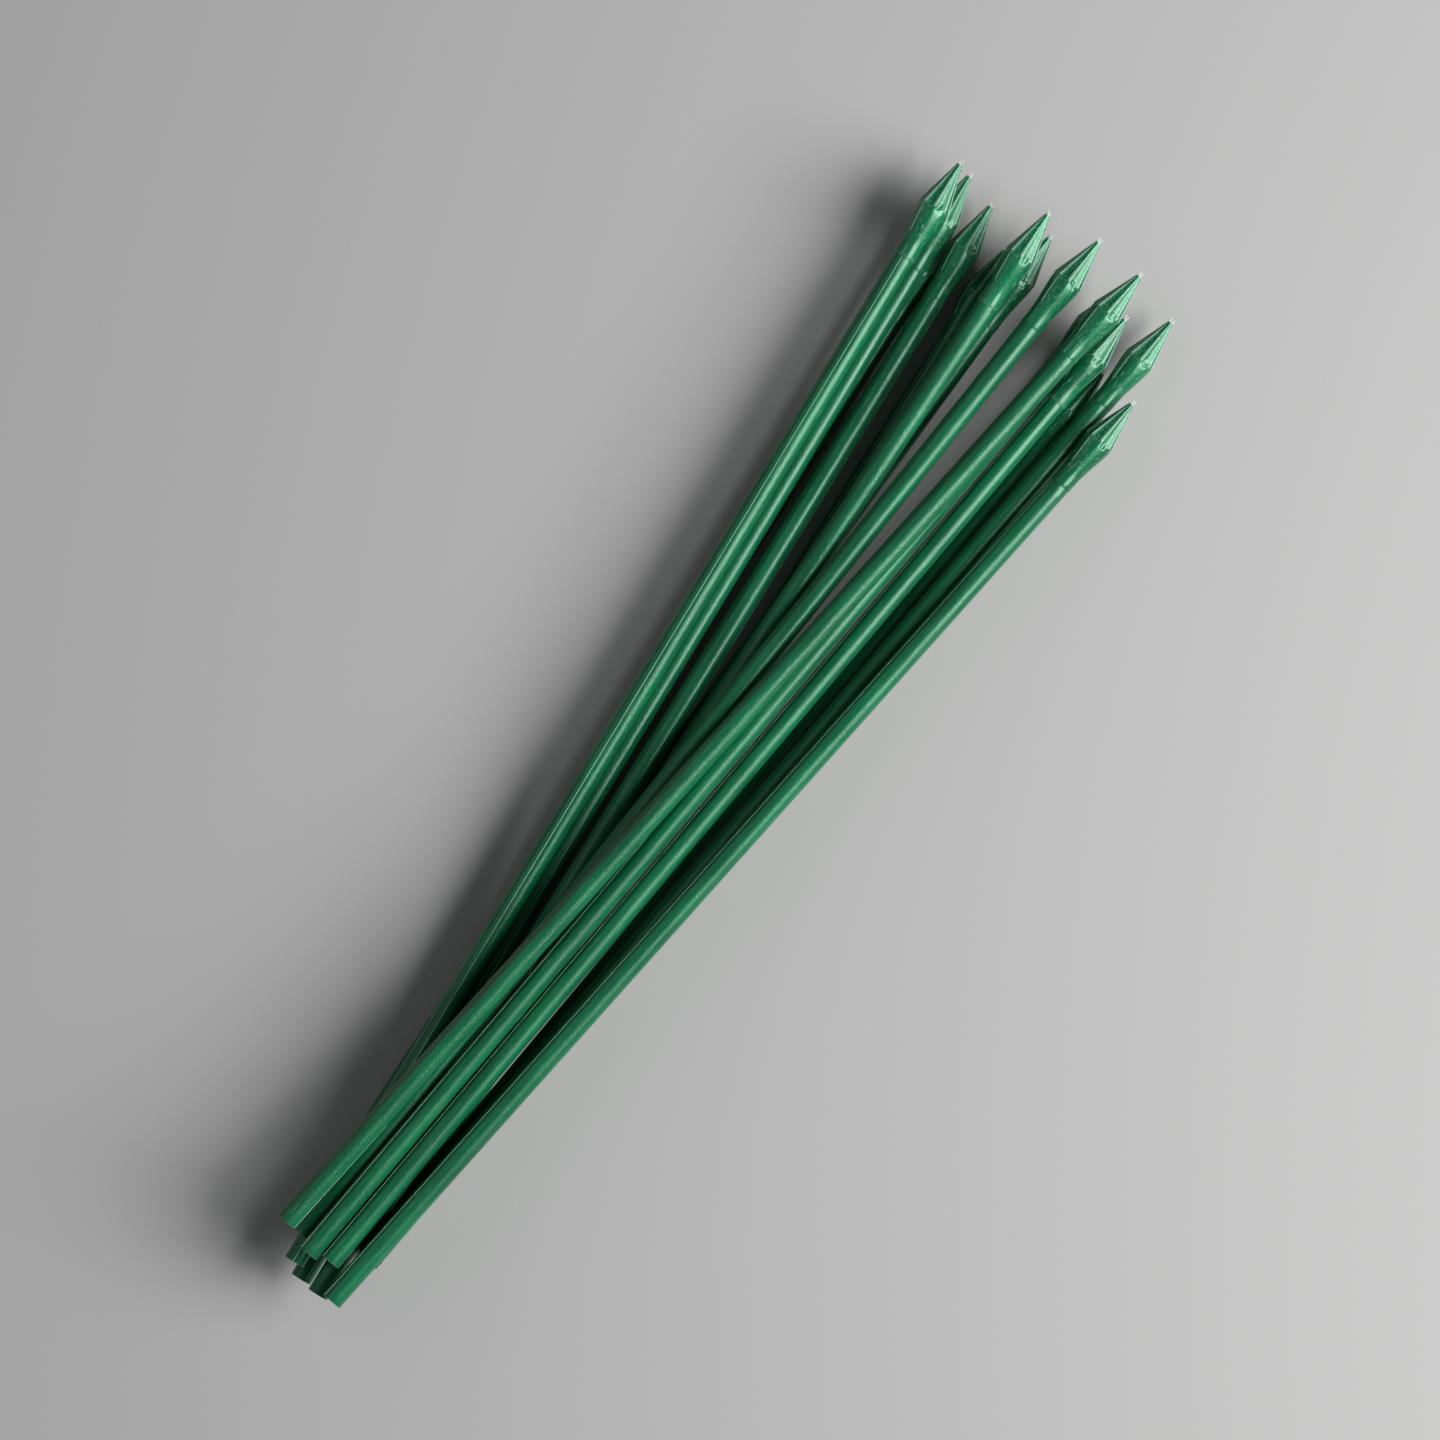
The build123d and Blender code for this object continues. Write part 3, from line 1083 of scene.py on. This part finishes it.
@dataclass
class Marker:
    """One whole marker: jacket, point and tuft around its rod."""

    place: MarkerPlace
    trees: Trees
    finishes: Finishes
    jacket: Jacket = field(default_factory=Jacket)
    point: Point = field(default_factory=Point)
    tuft: Tuft = field(default_factory=Tuft)

    @property
    def shift(self) -> Vector:
        """The marker's own stretch of the patterns, so that no two markers match."""
        return SEED_SHIFT * self.place.number

    def settle(self, piece: bpy.types.Object, kind: str) -> None:
        """Carry a finished piece to its place and hand it to the model.

        Args:
            piece: the piece, in marker space.
            kind: the kind of CAD node that it stands for.
        """
        piece.data.transform(self.place.matrix())
        piece.data.update()
        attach(piece, self.place.body)
        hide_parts(self.place.node(kind))
        log.info("%s: %d faces", piece.name, len(piece.data.polygons))

    def dress_jacket(self) -> None:
        """Build the jacket with its chatter, flecks and die line, the die line painted full pale as a
        highlight along a real bead.
        """
        number, wear = self.place.number, wear_of(self.place.number)
        jacket = self.jacket.build(self.place, wear)
        common = {"Space Shift": self.shift, "Material": self.finishes.jacket}
        marks = {
            "Chatter Height": self.jacket.chatter_height,
            "Chatter Pitch": self.jacket.chatter_pitch,
            "Flecks Per Area": self.jacket.flecks_per_area,
            "Fleck Size": self.jacket.fleck_size,
            "Mottle": wear.mottle,
            "Seed": number,
        }
        grow(jacket, self.trees.marks.tree, marks | common)
        height = self.jacket.outer_radius - self.jacket.die_line_sink
        inset = self.jacket.line_inset
        line = {
            "Line Count": 1,
            "First Angle": wear.die_line_angle,
            "Foot": Vector((inset, height, 0)),
            "Tip": Vector((self.place.jacket_length * wear.die_line_reach - inset, height, 0)),
            "Bead Radius": self.jacket.die_line_radius,
            "Tip Share": 0.6,
            # Full pale colour on the die line: a painted highlight along a real bead.
            "Wear": 1.0,
        }
        grow(jacket, self.trees.ridges.tree, line | common)
        jacket.data.set_sharp_from_angle(angle=math.radians(38))
        self.settle(jacket, "jacket")

    def dress_point(self) -> None:
        """Build the point with its pale crests, scored facets and flecks; the crests' full pale is a painted
        highlight.
        """
        shape, number = self.point, self.place.number
        point = shape.build(self.place)
        common = {"Space Shift": self.shift, "Material": self.finishes.point}
        marks = {
            "Chatter Height": shape.chatter_height,
            "Chatter Pitch": shape.chatter_pitch,
            "Flecks Per Area": shape.flecks_per_area,
            "Fleck Size": shape.fleck_size,
            "Mottle": 1.0,
            "Seed": number + 100,
        }
        grow(point, self.trees.marks.tree, marks | common)
        tip = self.place.jacket_length + shape.length
        spike_foot = tip - shape.spike_length
        # Beads on the spike: the crest, painted full pale as the highlight a rounded crest catches, and four
        # fine scores beside it, paler by wear.
        lines = (
            (0.0, shape.crest_radius, 1.0),
            (0.09, shape.score_radius, 0.6),
            (0.18, shape.score_radius, 0.35),
            (0.84, shape.score_radius, 0.4),
            (0.92, shape.score_radius, 0.5),
        )
        for share, radius, worn in lines:
            flat = shape.polygon(shape.facet * share, 0.0, 1.0)
            sink = 0.3 * radius + 0.8 * shape.facet_hollow * math.sin(math.pi * share) ** 2
            ridge = {
                "Line Count": shape.facet_count,
                "First Angle": self.place.crest_angle + shape.facet * share,
                "Foot": Vector((spike_foot + 0.2 * MM, shape.shoulder_radius * flat - sink, 0)),
                "Tip": Vector((tip - 0.3 * MM, shape.tip_radius * flat - 0.3 * radius, 0)),
                "Bead Radius": radius,
                "Tip Share": 0.6,
                "Wear": worn,
            }
            grow(point, self.trees.ridges.tree, ridge | common)
        point.data.set_sharp_from_angle(angle=math.radians(28))
        self.settle(point, "point")

    def dress_tuft(self) -> None:
        """Grow the strands out of the tip."""
        tuft = self.tuft.build(self.place)
        strands = {
            "Strand Count": 2 + self.place.number % 3,
            "Rim Radius": self.tuft.rim_radius,
            "Strand Radius": self.tuft.strand_radius,
            "Strand Length": self.tuft.strand_length,
            "Lean": self.tuft.lean,
            "Root Length": self.tuft.root_length,
            "First Angle": self.place.crest_angle,
            "Seed": self.place.number,
            "Space Shift": self.shift,
            "Material": self.finishes.tuft,
        }
        grow(tuft, self.trees.strands.tree, strands)
        tip = self.place.jacket_length + self.point.length
        tuft.data.transform(Matrix.Translation((tip, 0, 0)))
        tuft.data.set_sharp_from_angle(angle=math.radians(40))
        self.settle(tuft, "tuft")

    def dress_core(self, core: bpy.types.Object) -> None:
        """Give the rod its sawn glass-fibre look.

        Args:
            core: the rod's CAD node, which stays as it is.
        """
        core.data.materials.clear()
        core.data.materials.append(self.finishes.core)

    def build(self) -> None:
        """Build and place the marker's pieces."""
        self.dress_jacket()
        self.dress_point()
        self.dress_tuft()


# ---- the studio -----------------------------------------------------------------------------


@dataclass(frozen=True)
class Studio:
    """Pale floor, soft lamps and the camera straight above."""

    view_width: float = 0.696
    lens: float = 240.0
    sensor: float = 36.0
    heading: float = math.radians(37.53)
    centre_offset: Vector = field(default_factory=lambda: Vector((0.0215, -0.0029, 0.0)))
    floor_size: float = 6.0
    floor_colour: tuple[float, float, float, float] = (0.44, 0.44, 0.435, 1.0)
    lamp_distance: float = 2.4
    key_tilt: float = math.radians(50)
    key_side: Vector = field(default_factory=lambda: Vector((0.47, -0.883, 0)))
    key_size: tuple[float, float] = (1.5, 1.8)
    key_power: float = 95.0
    fill_size: tuple[float, float] = (2.0, 2.0)
    fill_power: float = 5.0
    sky_colour: tuple[float, float, float, float] = (0.9, 0.95, 1.0, 1.0)
    sky_strength: float = 0.08

    @property
    def image_up(self) -> Vector:
        """The way in the model that points up in the view."""
        return Vector((math.cos(self.heading), math.sin(self.heading), 0))

    @property
    def image_right(self) -> Vector:
        """The way in the model that points right in the view."""
        return Vector((math.sin(self.heading), -math.cos(self.heading), 0))

    def floor(self) -> None:
        """Lay the pale floor under the sheaf."""
        half = self.floor_size / 2
        corners = [Vector((x, y, 0)) for x, y in ((-half, -half), (half, -half), (half, half), (-half, half))]
        floor = new_piece("studio_floor", corners, [(0, 1, 2, 3)])
        material = bpy.data.materials.new("pale_floor")
        material.use_nodes = True
        w = TreeWriter(material.node_tree)
        shader = material.node_tree.nodes["Principled BSDF"]
        place = w.add("ShaderNodeTexCoord").outputs["Object"]
        grain = w.add("ShaderNodeTexNoise", {"Vector": place, "Scale": 900.0, "Detail": 3.0}).outputs[0]
        normal = w.add("ShaderNodeBump", {"Height": grain, "Strength": 0.5, "Distance": 0.1 * MM}).outputs[0]
        w.feed(shader.inputs["Base Color"], self.floor_colour)
        w.feed(shader.inputs["Roughness"], 0.9)
        w.feed(shader.inputs["Specular IOR Level"], 0.15)
        w.feed(shader.inputs["Normal"], normal)
        floor.data.materials.append(material)
        floor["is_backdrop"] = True

    def lamp(self, name: str, way: Vector, size: tuple[float, float], power: float) -> None:
        """Hang a soft lamp that faces the sheaf.

        Args:
            name: the lamp's name.
            way: direction from the sheaf to the lamp.
            size: its width and height.
            power: its power in watts.
        """
        data = bpy.data.lights.new(name, "AREA")
        data.shape = "RECTANGLE"
        data.size, data.size_y = size
        data.energy = power
        lamp = bpy.data.objects.new(name, data)
        bpy.context.scene.collection.objects.link(lamp)
        lamp.location = way.normalized() * self.lamp_distance
        lamp.rotation_euler = way.to_track_quat("Z", "Y").to_euler()

    def lamps(self) -> None:
        """Hang the key lamp on the view's right and a weak fill, under a dim even sky."""
        upwards = Vector((0, 0, math.cos(self.key_tilt)))
        key = self.key_side * math.sin(self.key_tilt) + upwards
        self.lamp("key_lamp", key, self.key_size, self.key_power)
        fill = -self.image_right * 0.8 + self.image_up * 0.5 + Vector((0, 0, 0.9))
        self.lamp("fill_lamp", fill, self.fill_size, self.fill_power)
        world = bpy.data.worlds.new("studio_sky")
        world.use_nodes = True
        background = world.node_tree.nodes["Background"]
        background.inputs["Color"].default_value = self.sky_colour
        background.inputs["Strength"].default_value = self.sky_strength
        bpy.context.scene.world = world

    def camera(self, low: Vector, high: Vector) -> None:
        """Set the camera straight above the sheaf, turned so that the points lie upper right.

        Args:
            low: lowest corner of the sheaf's box.
            high: highest corner of the sheaf's box.
        """
        data = bpy.data.cameras.new("camera")
        data.lens = self.lens
        data.sensor_width = self.sensor
        camera = bpy.data.objects.new("camera", data)
        bpy.context.scene.collection.objects.link(camera)
        distance = self.view_width * self.lens / self.sensor
        centre = (low + high) / 2 + self.centre_offset
        camera.location = centre + Vector((0, 0, distance))
        turn = Matrix((self.image_right, self.image_up, Vector((0, 0, 1)))).transposed()
        camera.rotation_euler = turn.to_euler()
        bpy.context.scene.camera = camera
        bpy.context.scene.view_settings.view_transform = "Standard"


def main() -> None:
    """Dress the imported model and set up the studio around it."""
    logging.basicConfig(level=logging.INFO, format="%(message)s")
    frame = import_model()
    cad_box = [list(corner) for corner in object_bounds()]
    studio = Studio()
    studio.camera(Vector(cad_box[0]), Vector(cad_box[1]))
    trees = Trees()
    finishes = Finishes()
    numbers = sorted(int(name.split("_")[1]) for name in frame["bodies"])
    for number in numbers:
        marker = Marker(MarkerPlace.read(frame["nodes"], number), trees, finishes)
        marker.build()
        marker.dress_core(frame["nodes"][marker.place.node("core")])
    studio.floor()
    studio.lamps()


if __name__ == "__main__":
    main()
